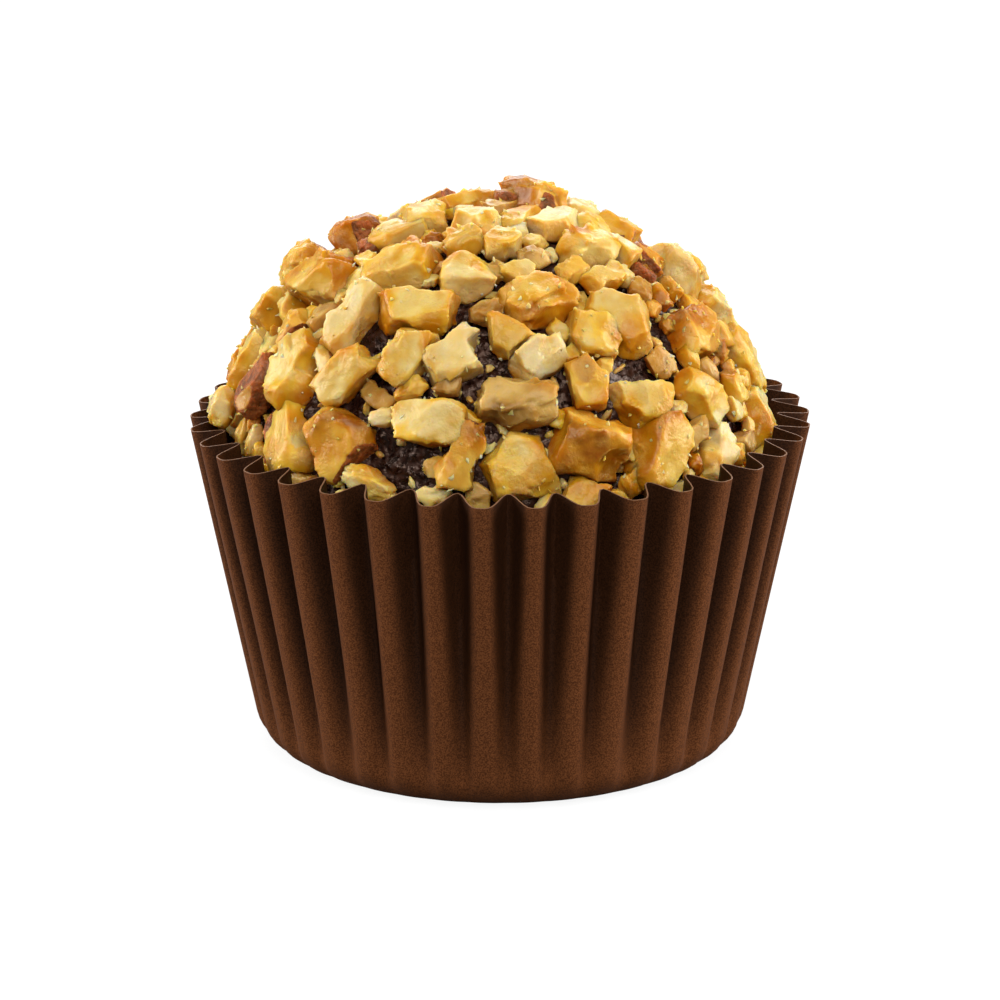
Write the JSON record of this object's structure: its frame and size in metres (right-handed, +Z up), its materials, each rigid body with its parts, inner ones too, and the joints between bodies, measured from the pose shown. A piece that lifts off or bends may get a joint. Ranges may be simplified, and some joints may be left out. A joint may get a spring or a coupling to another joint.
{
  "type": "brigadeiro",
  "caption": "Round chocolate fudge sweet rolled in chopped golden nuts, sitting in a brown pleated paper cup.",
  "frame": {"origin": "on the table under the middle of the cup", "axes": "+Z up, -Y towards the front that is seen, +X to the right as seen from the front"},
  "size_m": [0.0356, 0.0356, 0.0325],
  "materials": {
    "nut_coating": "roasted chopped nuts, cream to amber, slightly oily, pressed into dark chocolate fudge",
    "brown_paper": "matt dark brown greaseproof paper with a fine embossed grain, lighter along its cut edge"
  },
  "bodies": {
    "root": {"sweet": "nut_coating", "paper_cup": "brown_paper"}
  },
  "joints": []
}
